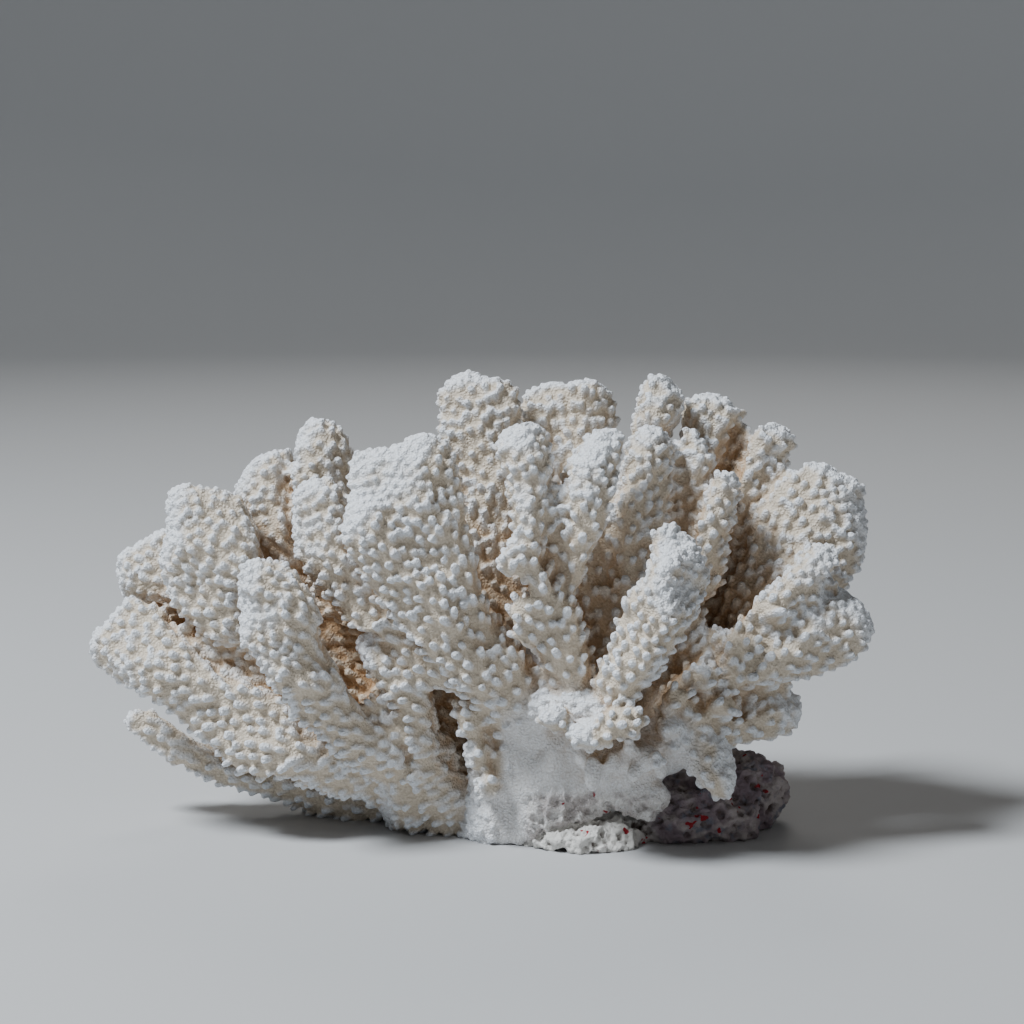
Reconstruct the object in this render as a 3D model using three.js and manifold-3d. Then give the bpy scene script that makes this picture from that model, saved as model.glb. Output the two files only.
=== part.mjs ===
// A dry branching coral standing on its own holdfast, with the scrap of reef rock that it grew on.
// Millimetres, +Z up. The origin is on the flat cut under the holdfast, +X runs along the colony's longest
// side and -Y is its front. The coral is parted where its main limbs fork, and each limb is one solid.

import * as THREE from "three";
import { mergeVertices } from "three/addons/utils/BufferGeometryUtils.js";
import Module from "manifold-3d";

const GAP = 0.3; // clearance between a limb and the one it forks from
const SIDES = 8; // facets round a limb
const DOME_RINGS = 2; // rings on each domed end
const KNOB_DETAIL = 1; // times that a knob's icosahedron is divided
const ROCK_DETAIL = 2;
const WELD = 1e-4; // vertices closer than this are one vertex
const FLOOR_BLOCK = 600; // edge of the block that saws the underside flat

const CORAL_WHITE = new THREE.MeshStandardMaterial({ color: 0xe9e4da, roughness: 0.85, metalness: 0 });
const ROCK_MAUVE = new THREE.MeshStandardMaterial({ color: 0xb5a8a8, roughness: 0.95, metalness: 0 });

const wasm = await Module();
wasm.setup();

// ---- from three.js geometry to solids and back ----

function solidOf(geometry) {
  const bare = geometry.clone();
  bare.deleteAttribute("normal");
  bare.deleteAttribute("uv");
  const merged = mergeVertices(bare, WELD);
  const mesh = new wasm.Mesh({
    numProp: 3,
    vertProperties: merged.attributes.position.array,
    triVerts: new Uint32Array(merged.index.array),
  });
  return new wasm.Manifold(mesh);
}

function geometryOf(solid) {
  const mesh = solid.getMesh();
  const geometry = new THREE.BufferGeometry();
  geometry.setAttribute("position", new THREE.BufferAttribute(mesh.vertProperties, 3));
  geometry.setIndex(new THREE.BufferAttribute(mesh.triVerts, 1));
  geometry.computeVertexNormals();
  return geometry;
}

function largestBody(solid) {
  return solid.decompose().reduce((best, body) => (body.volume() > best.volume() ? body : best));
}

const belowFloor = solidOf(
  new THREE.BoxGeometry(FLOOR_BLOCK, FLOOR_BLOCK, FLOOR_BLOCK).translate(0, 0, -FLOOR_BLOCK / 2),
);

// ---- limbs ----

// One end of a limb, as rings that close in on the pole: how far each lies beyond the spine's end, as a share
// of the dome's length, and how much is left of the width and the thickness there.
function domeRing(step, square) {
  const angle = (step / DOME_RINGS) * (Math.PI / 2);
  const round = Math.max(0, Math.cos(angle));
  return { beyond: Math.sin(angle), width: round ** (1 / square), thick: round };
}

// A limb is an oval tube on a smooth spine, with a ring at each station and a dome on each end. A station
// gives the middle of the limb, its width across the spine and its thickness, and they run from the root to
// the tip. turn swings the width round the spine, away from facing the front. dome is the dome's length as a
// share of the width, and square flattens its top into a fan's long rim.
function limbSolid({ stations, turn = 0, square = 1, dome = 0.5 }, grow = 0) {
  const spine = new THREE.CatmullRomCurve3(stations.map(([x, y, z]) => new THREE.Vector3(x, y, z)));

  const last = stations.length - 1;
  const rings = stations.map((_, station) => ({ station, side: 0, beyond: 0, width: 1, thick: 1 }));
  for (let step = 1; step <= DOME_RINGS; step++) {
    rings.unshift({ station: 0, side: -1, ...domeRing(step, square) });
    rings.push({ station: last, side: 1, ...domeRing(step, square) });
  }

  const geometry = new THREE.SphereGeometry(1, SIDES, rings.length - 1);
  const position = geometry.attributes.position;
  const front = new THREE.Vector3(0, -1, 0);
  for (let i = 0; i < position.count; i++) {
    const ring = rings[Math.floor(i / (SIDES + 1))];
    const around = ((i % (SIDES + 1)) / SIDES) * 2 * Math.PI;
    const [x, y, z, width, thickness] = stations[ring.station];
    const along = spine.getTangent(ring.station / last);
    const across = new THREE.Vector3().crossVectors(along, front).normalize();
    across.applyAxisAngle(along, THREE.MathUtils.degToRad(turn));
    const through = new THREE.Vector3().crossVectors(across, along);
    const point = new THREE.Vector3(x, y, z);
    point.addScaledVector(along, ring.side * ring.beyond * (dome * width + grow));
    point.addScaledVector(across, Math.cos(around) * ring.width * (width / 2 + grow));
    point.addScaledVector(through, Math.sin(around) * ring.thick * (thickness / 2 + grow));
    position.setXYZ(i, point.x, point.y, point.z);
  }
  return solidOf(geometry);
}

// A knob or a lump: an oval ball. craggy, the height of its waves as a share of its radius, makes it a rock.
function lumpSolid({ at, size, craggy = 0 }, grow = 0) {
  const geometry = new THREE.IcosahedronGeometry(1, craggy > 0 ? ROCK_DETAIL : KNOB_DETAIL);
  const position = geometry.attributes.position;
  for (let i = 0; i < position.count; i++) {
    const unit = new THREE.Vector3().fromBufferAttribute(position, i);
    const waves = Math.sin(7 * unit.x + 2) * Math.sin(6 * unit.y) + 0.6 * Math.sin(13 * unit.z + 5 * unit.x);
    const reach = 1 + craggy * waves;
    position.setXYZ(
      i,
      at[0] + unit.x * (reach * size[0] / 2 + grow),
      at[1] + unit.y * (reach * size[1] / 2 + grow),
      at[2] + unit.z * (reach * size[2] / 2 + grow),
    );
  }
  return solidOf(geometry);
}

function pieceSolid({ limbs = [], lumps = [] }, grow = 0) {
  const limbSolids = limbs.map((limb) => limbSolid(limb, grow));
  const lumpSolids = lumps.map((lump) => lumpSolid(lump, grow));
  return [...limbSolids, ...lumpSolids].reduce((joined, solid) => joined.add(solid));
}

// ---- the pieces ----
// A station is [x, y, z, width, thickness]. An earlier piece keeps its whole shape, and a later one is cut
// to fit against it.

const reefRock = {
  name: "reef_rock",
  material: ROCK_MAUVE,
  lumps: [
    { at: [7, -9, 1], size: [46, 46, 19], craggy: 0.06 },
    { at: [42, 2, 5], size: [62, 48, 26], craggy: 0.07 },
    { at: [62, 10, 12], size: [34, 34, 24], craggy: 0.08 },
  ],
};

// The trunk, the thin foot that spreads to its left, and the smooth spurs low on its right.
const holdfast = {
  name: "holdfast",
  limbs: [
    {
      stations: [
        [-5, -4, 0, 50, 40],
        [-3, -8, 18, 50, 38],
        [-3, -10, 38, 46, 34],
        [2, -12, 54, 38, 28],
      ],
      square: 1.5,
      dome: 0.3,
    },
    {
      stations: [
        [-24, -4, 0, 26, 28],
        [-22, -8, 12, 17, 22],
        [-24, -12, 28, 9, 18],
        [-25, -14, 44, 8, 14],
      ],
    },
    {
      stations: [
        [16, -12, 28, 28, 32],
        [32, -16, 36, 26, 28],
        [44, -20, 40, 20, 22],
      ],
    },
    {
      stations: [
        [40, -20, 38, 18, 16],
        [49, -28, 31, 15, 13],
        [51, -32, 24, 11, 11],
      ],
    },
    {
      stations: [
        [16, -20, 36, 20, 16],
        [24, -29, 34, 13, 13],
        [27, -34, 33, 11, 10],
      ],
    },
    {
      stations: [
        [8, -20, 38, 16, 14],
        [11, -28, 34, 12, 11],
        [13, -30, 27, 8, 8],
      ],
    },
    {
      stations: [
        [14, -14, 24, 20, 20],
        [22, -18, 21, 18, 16],
        [28, -21, 17, 14, 12],
      ],
    },
  ],
  lumps: [
    { at: [-3, -29, 48], size: [15, 14, 13] },
    { at: [6, -33, 48], size: [17, 14, 14] },
    { at: [14, -35, 50], size: [14, 14, 14] },
  ],
};

const limbs = [
  // the left side, from the floor upwards
  {
    name: "left_foot",
    stations: [
      [-42, 6, -2, 36, 34],
      [-45, 0, 14, 34, 34],
      [-52, -8, 28, 32, 26],
      [-55, -13, 34, 30, 22],
    ],
    dome: 0.25,
  },
  {
    name: "low_left_finger",
    stations: [
      [-52, 14, 4, 18, 17],
      [-89, 18, 9, 15, 15],
      [-110, 20, 16, 14, 15],
      [-131, 20, 24, 15, 15],
      [-144, 20, 32, 13, 12],
    ],
  },
  {
    name: "left_low_blade",
    stations: [
      [-44, 2, 14, 24, 24],
      [-90, -9, 33, 29, 24],
      [-113, -8, 46, 30, 22],
      [-133, -5, 59, 31, 20],
      [-143, -2, 67, 27, 17],
    ],
    turn: 15,
    square: 1.8,
  },
  {
    name: "left_rim_blade",
    stations: [
      [-52, 10, 18, 20, 20],
      [-102, 15, 45, 28, 20],
      [-119, 16, 63, 33, 20],
      [-130, 16, 79, 36, 19],
      [-136, 15, 90, 33, 17],
    ],
    square: 1.8,
    dome: 0.4,
  },
  {
    name: "left_shoulder_blade",
    stations: [
      [-50, 2, 22, 20, 20],
      [-91, 2, 43, 23, 20],
      [-105, -2, 62, 26, 20],
      [-113, -4, 80, 30, 19],
      [-117, -3, 97, 33, 18],
      [-117, 0, 109, 30, 16],
    ],
    square: 2,
    dome: 0.3,
  },
  {
    name: "front_left_finger",
    stations: [
      [-56, -12, 28, 24, 20],
      [-66, -19, 38, 21, 19],
      [-77, -25, 49, 20, 19],
      [-87, -31, 63, 23, 22],
      [-92, -33, 76, 26, 24],
      [-94, -32, 88, 21, 20],
    ],
  },
  {
    name: "front_left_spur",
    stations: [
      [-50, -12, 30, 22, 20],
      [-51, -17, 45, 20, 18],
      [-55, -20, 59, 17, 16],
      [-59, -20, 70, 13, 13],
    ],
  },
  {
    name: "left_web",
    stations: [
      [-34, 9, -2, 26, 22],
      [-36, 7, 20, 26, 18],
      [-37, 4, 40, 24, 16],
      [-34, 0, 58, 20, 16],
    ],
    dome: 0.3,
  },

  // the large fan on the front left, and what stands behind it
  {
    name: "front_left_fan",
    stations: [
      [-8, -17, 40, 24, 22],
      [-20, -24, 55, 25, 22],
      [-34, -30, 72, 28, 21],
      [-45, -33, 92, 34, 20],
      [-51, -31, 111, 41, 18],
      [-53, -27, 128, 36, 15],
    ],
    turn: 8,
    square: 2.2,
    dome: 0.26,
  },
  {
    name: "fan_side_lobe",
    stations: [
      [-38, -22, 60, 16, 15],
      [-52, -22, 71, 20, 16],
      [-65, -22, 87, 22, 17],
      [-74, -20, 102, 22, 17],
      [-79, -18, 113, 19, 15],
    ],
  },
  {
    name: "back_left_blade",
    stations: [
      [-40, 6, 26, 18, 20],
      [-81, 15, 66, 25, 20],
      [-92, 17, 90, 27, 20],
      [-96, 18, 107, 27, 18],
      [-97, 18, 120, 23, 15],
    ],
    square: 1.6,
    dome: 0.4,
  },
  {
    name: "back_left_finger",
    stations: [
      [-40, 2, 36, 16, 18],
      [-70, 6, 79, 20, 18],
      [-78, 7, 103, 20, 17],
      [-80, 8, 120, 20, 16],
      [-80, 8, 130, 16, 14],
    ],
  },

  // the middle
  {
    name: "centre_wing",
    stations: [
      [3, -14, 42, 24, 20],
      [12, -15, 78, 30, 18],
      [19, -14, 98, 31, 17],
      [27, -12, 116, 26, 16],
      [31, -9, 130, 18, 14],
    ],
    turn: -12,
    square: 1.6,
    dome: 0.35,
  },
  {
    name: "centre_left_finger",
    stations: [
      [3, -26, 56, 18, 18],
      [-1, -33, 78, 17, 18],
      [-5, -37, 95, 18, 19],
      [-9, -38, 108, 19, 19],
      [-12, -36, 121, 18, 18],
      [-13, -33, 132, 16, 16],
    ],
    lumps: [
      { at: [-15, -41, 98], size: [14, 14, 12] },
      { at: [-11, -37, 80], size: [12, 13, 21] },
    ],
  },
  {
    name: "centre_right_finger",
    stations: [
      [-4, -33, 84, 20, 20],
      [0, -36, 104, 20, 18],
      [6, -35, 118, 20, 18],
      [12, -32, 129, 18, 17],
      [16, -30, 136, 16, 16],
    ],
  },
  {
    name: "back_centre_blade",
    stations: [
      [-10, -4, 48, 22, 20],
      [-24, 4, 92, 29, 19],
      [-27, 7, 112, 31, 19],
      [-28, 10, 131, 31, 18],
      [-26, 12, 147, 27, 16],
    ],
    square: 1.8,
    dome: 0.3,
  },
  {
    name: "back_centre_fan",
    stations: [
      [2, 4, 50, 18, 20],
      [3, 8, 72, 19, 20],
      [4, 17, 114, 26, 17],
      [4, 20, 131, 33, 16],
      [4, 22, 144, 32, 14],
    ],
    square: 2.2,
    dome: 0.24,
  },
  {
    name: "back_right_finger",
    stations: [
      [14, -2, 58, 16, 18],
      [22, 2, 93, 17, 18],
      [28, 4, 119, 18, 18],
      [31, 6, 136, 18, 17],
      [33, 7, 148, 15, 14],
    ],
  },

  // the right side
  {
    name: "front_right_finger",
    stations: [
      [17, -36, 52, 16, 16],
      [24, -46, 71, 19, 19],
      [31, -48, 85, 20, 20],
      [36, -46, 97, 18, 18],
      [36, -43, 107, 13, 13],
    ],
  },
  {
    name: "right_mid_finger",
    stations: [
      [18, -8, 52, 15, 16],
      [35, -8, 85, 15, 16],
      [41, -6, 104, 16, 16],
      [43, -5, 120, 16, 15],
      [43, -4, 132, 13, 13],
    ],
  },
  {
    name: "right_mid_knob",
    stations: [
      [26, -14, 58, 14, 16],
      [46, -15, 89, 16, 16],
      [51, -14, 105, 16, 15],
      [54, -13, 116, 14, 13],
    ],
  },
  {
    name: "right_top_blade",
    stations: [
      [18, 4, 50, 18, 18],
      [45, 12, 92, 20, 18],
      [50, 14, 111, 23, 18],
      [53, 16, 128, 26, 17],
      [54, 16, 139, 25, 15],
    ],
    square: 2,
    dome: 0.28,
  },
  {
    name: "right_upper_lobe",
    stations: [
      [32, -2, 48, 18, 18],
      [59, 4, 83, 24, 18],
      [65, 7, 102, 25, 18],
      [69, 9, 119, 23, 17],
      [71, 9, 130, 19, 15],
    ],
    square: 1.3,
    dome: 0.4,
  },
  {
    name: "right_fan",
    stations: [
      [32, -6, 40, 20, 20],
      [61, -4, 68, 30, 20],
      [73, -2, 84, 38, 19],
      [82, 0, 101, 42, 18],
      [86, 1, 114, 36, 16],
    ],
    square: 1.8,
    dome: 0.3,
  },
  {
    name: "right_inner_blade",
    stations: [
      [27, -16, 42, 18, 18],
      [40, -20, 52, 20, 17],
      [49, -22, 62, 20, 15],
      [54, -21, 70, 17, 13],
    ],
    square: 1.5,
    dome: 0.35,
  },
  {
    name: "right_low_fan",
    stations: [
      [34, -14, 42, 20, 18],
      [54, -22, 57, 25, 19],
      [68, -25, 67, 30, 20],
      [81, -24, 73, 32, 20],
      [90, -21, 77, 28, 18],
    ],
    square: 1.6,
    dome: 0.35,
  },
  {
    name: "right_low_lobe",
    stations: [
      [58, -22, 66, 18, 16],
      [68, -26, 78, 18, 17],
      [77, -25, 88, 17, 17],
      [84, -22, 97, 14, 14],
    ],
  },
  {
    name: "right_under_lobe",
    stations: [
      [32, -16, 40, 20, 18],
      [46, -20, 44, 22, 18],
      [60, -21, 46, 25, 18],
      [73, -19, 45, 24, 16],
    ],
    square: 1.4,
    dome: 0.35,
  },

  // the back, which leans away from the front
  {
    name: "rear_left_low_blade",
    stations: [
      [-34, 14, 12, 22, 20],
      [-58, 26, 21, 27, 20],
      [-84, 36, 36, 31, 20],
      [-106, 42, 53, 32, 18],
      [-115, 43, 64, 28, 15],
    ],
    turn: -20,
    square: 1.8,
    dome: 0.4,
  },
  {
    name: "rear_left_high_blade",
    stations: [
      [-28, 14, 26, 22, 20],
      [-46, 26, 48, 27, 20],
      [-62, 36, 72, 33, 20],
      [-73, 42, 94, 36, 18],
      [-76, 43, 107, 31, 15],
    ],
    turn: -15,
    square: 1.8,
    dome: 0.32,
  },
  {
    name: "rear_foot",
    stations: [
      [-20, 16, -2, 40, 26],
      [-13, 18, 22, 34, 28],
      [-4, 16, 46, 26, 24],
    ],
    dome: 0.3,
  },
  {
    name: "rear_centre_fan",
    stations: [
      [-12, 18, 36, 24, 20],
      [-20, 30, 58, 29, 20],
      [-26, 40, 80, 37, 19],
      [-30, 46, 102, 43, 17],
      [-31, 47, 115, 38, 14],
    ],
    turn: -5,
    square: 2,
    dome: 0.25,
  },
  {
    name: "rear_middle_finger",
    stations: [
      [0, 18, 40, 18, 18],
      [4, 32, 62, 19, 18],
      [7, 42, 86, 22, 18],
      [10, 47, 108, 20, 17],
    ],
  },
  {
    name: "rear_right_high_blade",
    stations: [
      [10, 16, 36, 22, 20],
      [26, 28, 56, 27, 20],
      [38, 37, 78, 33, 19],
      [46, 42, 100, 38, 17],
      [49, 43, 112, 33, 14],
    ],
    turn: 12,
    square: 1.8,
    dome: 0.3,
  },
  {
    name: "rear_right_low_fan",
    stations: [
      [20, 14, 26, 22, 20],
      [40, 24, 39, 27, 20],
      [60, 32, 54, 33, 19],
      [76, 36, 70, 37, 17],
      [83, 36, 79, 32, 14],
    ],
    turn: 15,
    square: 1.8,
    dome: 0.3,
  },
  {
    name: "rear_low_finger",
    stations: [
      [4, 22, 22, 18, 18],
      [12, 38, 28, 17, 17],
      [18, 50, 36, 16, 16],
      [21, 56, 43, 13, 13],
    ],
  },
];

const limbPieces = limbs.map((limb) => ({ name: limb.name, limbs: [limb], lumps: limb.lumps }));
const pieces = [reefRock, holdfast, ...limbPieces];

// ---- the colony ----

const colony = new THREE.Group();
let standing = belowFloor;
for (const piece of pieces) {
  const fitted = largestBody(pieceSolid(piece).subtract(standing));
  standing = standing.add(pieceSolid(piece, GAP));
  const mesh = new THREE.Mesh(geometryOf(fitted), piece.material ?? CORAL_WHITE);
  mesh.name = piece.name;
  colony.add(mesh);
}

export default colony;
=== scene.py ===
import math

import bpy
import numpy as np
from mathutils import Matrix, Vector
from mathutils.bvhtree import BVHTree
from mathutils.kdtree import KDTree
from mathutils.noise import noise as lumpiness


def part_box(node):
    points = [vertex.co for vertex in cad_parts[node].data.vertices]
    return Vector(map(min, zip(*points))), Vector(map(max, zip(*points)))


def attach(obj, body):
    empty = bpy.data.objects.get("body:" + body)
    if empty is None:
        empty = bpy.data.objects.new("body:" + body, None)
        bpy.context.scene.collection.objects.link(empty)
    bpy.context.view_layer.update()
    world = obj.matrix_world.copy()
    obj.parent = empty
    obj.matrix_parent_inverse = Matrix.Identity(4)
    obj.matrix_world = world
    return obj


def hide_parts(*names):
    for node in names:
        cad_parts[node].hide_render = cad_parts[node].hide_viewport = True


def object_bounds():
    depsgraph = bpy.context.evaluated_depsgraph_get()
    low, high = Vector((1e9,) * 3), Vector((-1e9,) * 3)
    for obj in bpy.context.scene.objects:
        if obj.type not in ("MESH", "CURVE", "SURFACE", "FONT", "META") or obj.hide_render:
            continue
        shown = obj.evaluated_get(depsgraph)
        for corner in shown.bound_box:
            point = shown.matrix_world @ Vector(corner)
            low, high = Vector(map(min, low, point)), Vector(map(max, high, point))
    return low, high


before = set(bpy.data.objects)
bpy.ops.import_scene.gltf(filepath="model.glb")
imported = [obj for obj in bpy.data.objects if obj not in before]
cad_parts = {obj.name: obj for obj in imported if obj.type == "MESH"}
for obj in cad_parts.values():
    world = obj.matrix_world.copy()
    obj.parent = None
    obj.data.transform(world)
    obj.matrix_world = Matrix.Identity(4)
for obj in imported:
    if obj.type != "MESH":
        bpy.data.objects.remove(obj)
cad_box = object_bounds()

# ---- the reef rock ----
# A scrap of old reef limestone that the coral grew over: worm-bored, crusted with mauve coralline algae and
# specked dark red. It broke away with the coral and is sawn flat underneath.

MM = 0.001


def only(piece):
    """Selects this piece alone and makes it the active one."""
    bpy.ops.object.select_all(action="DESELECT")
    piece.select_set(True)
    bpy.context.view_layer.objects.active = piece


def copy_of(node_names, name):
    """One free copy of these nodes, with the corners of their loose triangles merged."""
    bpy.ops.object.select_all(action="DESELECT")
    for node_name in node_names:
        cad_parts[node_name].select_set(True)
    bpy.context.view_layer.objects.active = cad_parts[node_names[0]]
    bpy.ops.object.duplicate()
    if len(node_names) > 1:
        bpy.ops.object.join()
    piece = bpy.context.object
    piece.parent = None
    for key in list(piece.keys()):
        del piece[key]
    piece.name = name
    piece.data.materials.clear()
    bpy.ops.object.mode_set(mode="EDIT")
    bpy.ops.mesh.select_all(action="SELECT")
    bpy.ops.mesh.remove_doubles(threshold=0.01 * MM)
    bpy.ops.object.mode_set(mode="OBJECT")
    return piece


def shape_with(piece, kind, **settings):
    """Gives the piece one modifier with these settings, and applies it."""
    only(piece)
    modifier = piece.modifiers.new(kind, kind)
    for setting, value in settings.items():
        setattr(modifier, setting, value)
    bpy.ops.object.modifier_apply(modifier=modifier.name)


def lump_texture(name, kind, size, **settings):
    """A procedural texture to push a surface about with."""
    texture = bpy.data.textures.new(name, kind)
    texture.noise_scale = size
    for setting, value in settings.items():
        setattr(texture, setting, value)
    return texture


def read(items, field, kind=np.float32, each=1):
    """This field of all the items: a number for each, or a row of so many."""
    found = np.empty(len(items) * each, kind)
    items.foreach_get(field, found)
    return found if each == 1 else found.reshape(-1, each)


def coords(mesh):
    """The place of each vertex."""
    return read(mesh.vertices, "co", each=3)


def saw_flat(piece):
    """Presses what hangs below the floor up to it."""
    places = coords(piece.data)
    places[:, 2] = np.maximum(places[:, 2], 0)
    piece.data.vertices.foreach_set("co", places.ravel())
    piece.data.update()


def store(mesh, name, values, kind="FLOAT"):
    """Keeps one value or vector a vertex under this name."""
    attribute = mesh.attributes.get(name) or mesh.attributes.new(name, kind, "POINT")
    field = "vector" if kind == "FLOAT_VECTOR" else "value"
    attribute.data.foreach_set(field, np.ascontiguousarray(values, np.float32).ravel())


def smoothstep(low, high, values):
    """0 where the values reach low, 1 where they reach high, and smooth between them."""
    share = np.clip((values - low) / (high - low), 0, 1)
    return share * share * (3 - 2 * share)


def tree_of(mesh):
    """The mesh as a tree that finds the nearest spot and where a ray hits."""
    return BVHTree.FromPolygons([v.co for v in mesh.vertices], [p.vertices for p in mesh.polygons])


def openness(mesh, rays, reach):
    """How much of the sky over each vertex is clear of the mesh itself within this reach, from 0 to 1."""
    lift = 0.4 * MM
    tree = tree_of(mesh)
    golden_angle = math.pi * (3 - math.sqrt(5))
    sky = []
    for step in range(rays):
        up = 1 - (step + 0.5) / rays
        out = math.sqrt(1 - up * up)
        around = step * golden_angle
        sky.append(Vector((out * math.cos(around), out * math.sin(around), up)))
    clear = []
    for vertex in mesh.vertices:
        start = vertex.co + vertex.normal * lift
        turn = vertex.normal.to_track_quat("Z", "Y").to_matrix()
        clear.append(sum(tree.ray_cast(start, turn @ ray, reach)[0] is None for ray in sky))
    return np.array(clear) / rays


CRAG_SIZE, CRAG_HEIGHT = 9 * MM, 9 * MM
BORE_SIZE, BORE_DEPTH = 3.4 * MM, 2.6 * MM
GRIT_SIZE, GRIT_HEIGHT = 1.5 * MM, 1.6 * MM
ROUGH_ROCK, FINE_ROCK = 1.2 * MM, 0.62 * MM
rock = copy_of(["reef_rock"], "reef_rock_crust")
shape_with(rock, "REMESH", mode="VOXEL", voxel_size=ROUGH_ROCK)
shape_with(rock, "SMOOTH", factor=0.5, iterations=6)
crags = lump_texture("crags", "CLOUDS", CRAG_SIZE, noise_depth=3)
shape_with(rock, "DISPLACE", texture=crags, strength=CRAG_HEIGHT, mid_level=0.55)
shape_with(rock, "REMESH", mode="VOXEL", voxel_size=FINE_ROCK)
bores = lump_texture("bores", "VORONOI", BORE_SIZE, distance_metric="DISTANCE", noise_intensity=1.3)
shape_with(rock, "DISPLACE", texture=bores, strength=BORE_DEPTH, mid_level=0.6)
grit = lump_texture("grit", "CLOUDS", GRIT_SIZE, noise_depth=2)
shape_with(rock, "DISPLACE", texture=grit, strength=GRIT_HEIGHT, mid_level=0.5)
saw_flat(rock)
# How open each spot of the rock is, which sets the painted shade in its bores.
store(rock.data, "open", openness(rock.data, rays=12, reach=5 * MM))

# The rock is bare and pale where it runs in under the trunk.
trunk_low, trunk_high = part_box("holdfast")
pale_from, pale_to = trunk_high.x - 22 * MM, trunk_high.x - 34 * MM
store(rock.data, "pale", smoothstep(pale_from, pale_to, coords(rock.data)[:, 0]))


def node(tree, kind, **settings):
    """A new node of this kind in the tree, with these settings."""
    made = tree.nodes.new(kind)
    for setting, value in settings.items():
        setattr(made, setting, value)
    return made


def feed(tree, value, socket):
    """Links an output to the socket, or sets the socket to a plain value."""
    if isinstance(value, bpy.types.NodeSocket):
        tree.links.new(value, socket)
    else:
        socket.default_value = value


def mix(tree, share, first, second, blend="MIX"):
    """The first colour where the share is 0, and the second, or its blend with the first, where it is 1."""
    made = node(tree, "ShaderNodeMix", data_type="RGBA", blend_type=blend)
    feed(tree, share, made.inputs[0])
    feed(tree, first, made.inputs[6])
    feed(tree, second, made.inputs[7])
    return made.outputs[2]


def between(tree, value, low, high):
    """0 where the value is low, 1 where it is high, and smooth between them."""
    made = node(tree, "ShaderNodeMapRange", interpolation_type="SMOOTHSTEP")
    feed(tree, value, made.inputs["Value"])
    made.inputs["From Min"].default_value = low
    made.inputs["From Max"].default_value = high
    return made.outputs["Result"]


def mark(tree, name):
    """The value that the mesh stores under this name."""
    return node(tree, "ShaderNodeAttribute", attribute_name=name).outputs["Fac"]


def noise(tree, size, detail=3):
    """Soft blotches of this size, in metres."""
    place = node(tree, "ShaderNodeTexCoord").outputs["Object"]
    made = node(tree, "ShaderNodeTexNoise")
    tree.links.new(place, made.inputs["Vector"])
    made.inputs["Scale"].default_value = 1 / size
    made.inputs["Detail"].default_value = detail
    return made.outputs["Fac"]


def material(name):
    """A new material, with its node tree and its shader."""
    made = bpy.data.materials.new(name)
    made.use_nodes = True
    return made, made.node_tree, made.node_tree.nodes["Principled BSDF"]


# Dry limestone is grainy all over: round grains under a millimetre, and finer grit between them.
limy_grain = bpy.data.node_groups.new("limy_grain", "ShaderNodeTree")
limy_grain.interface.new_socket("Grain Size", in_out="INPUT", socket_type="NodeSocketFloat")
limy_grain.interface.new_socket("Relief", in_out="INPUT", socket_type="NodeSocketFloat")
limy_grain.interface.new_socket("Grains", in_out="OUTPUT", socket_type="NodeSocketFloat")
limy_grain.interface.new_socket("Normal", in_out="OUTPUT", socket_type="NodeSocketVector")
given, given_out = node(limy_grain, "NodeGroupInput"), node(limy_grain, "NodeGroupOutput")
per_metre = node(limy_grain, "ShaderNodeMath", operation="DIVIDE")
per_metre.inputs[0].default_value = 1
limy_grain.links.new(given.outputs["Grain Size"], per_metre.inputs[1])
place = node(limy_grain, "ShaderNodeTexCoord").outputs["Object"]
cells = node(limy_grain, "ShaderNodeTexVoronoi", feature="F1")
grit_noise = node(limy_grain, "ShaderNodeTexNoise")
grit_noise.inputs["Detail"].default_value = 2
for texture in (cells, grit_noise):
    limy_grain.links.new(place, texture.inputs["Vector"])
    limy_grain.links.new(per_metre.outputs[0], texture.inputs["Scale"])
grains = node(limy_grain, "ShaderNodeMath", operation="SUBTRACT")
limy_grain.links.new(grit_noise.outputs["Fac"], grains.inputs[0])
limy_grain.links.new(cells.outputs["Distance"], grains.inputs[1])
bump = node(limy_grain, "ShaderNodeBump")
limy_grain.links.new(given.outputs["Relief"], bump.inputs["Distance"])
limy_grain.links.new(grains.outputs[0], bump.inputs["Height"])
limy_grain.links.new(grains.outputs[0], given_out.inputs["Grains"])
limy_grain.links.new(bump.outputs["Normal"], given_out.inputs["Normal"])


def grainy(tree, shader, size, relief):
    """Roughens the shader with grains of this size and relief, and gives their pattern."""
    grain = node(tree, "ShaderNodeGroup", node_tree=limy_grain)
    grain.inputs["Grain Size"].default_value = size
    grain.inputs["Relief"].default_value = relief
    tree.links.new(grain.outputs["Normal"], shader.inputs["Normal"])
    return grain.outputs["Grains"]


MAUVE, PALE_MAUVE, SLATE = (0.22, 0.17, 0.19, 1), (0.42, 0.37, 0.36, 1), (0.20, 0.20, 0.24, 1)
BARE_LIME, CRIMSON, PAINTED_BORE_SHADE = (0.72, 0.70, 0.66, 1), (0.30, 0.012, 0.02, 1), (0.10, 0.07, 0.055, 1)
SPECK_SIZE = 5 * MM
stone, tree, shader = material("reef_rock")
grainy(tree, shader, size=1.1 * MM, relief=0.35 * MM)
crust = mix(tree, between(tree, noise(tree, 9 * MM), 0.4, 0.62), MAUVE, PALE_MAUVE)
crust = mix(tree, between(tree, noise(tree, 4 * MM), 0.52, 0.7), crust, SLATE)
crust = mix(tree, mark(tree, "pale"), crust, BARE_LIME)
crust = mix(tree, between(tree, noise(tree, SPECK_SIZE, detail=2), 0.665, 0.69), crust, CRIMSON)
# Painted shade: the rock goes dark brown in its bores and hollows, where little sky is open.
crust = mix(tree, between(tree, mark(tree, "open"), 0.25, 0.75), PAINTED_BORE_SHADE, crust)
tree.links.new(crust, shader.inputs["Base Color"])
shader.inputs["Roughness"].default_value = 0.95
rock.data.materials.append(stone)
only(rock)
bpy.ops.object.shade_smooth()
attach(rock, "root")
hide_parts("reef_rock")

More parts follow.
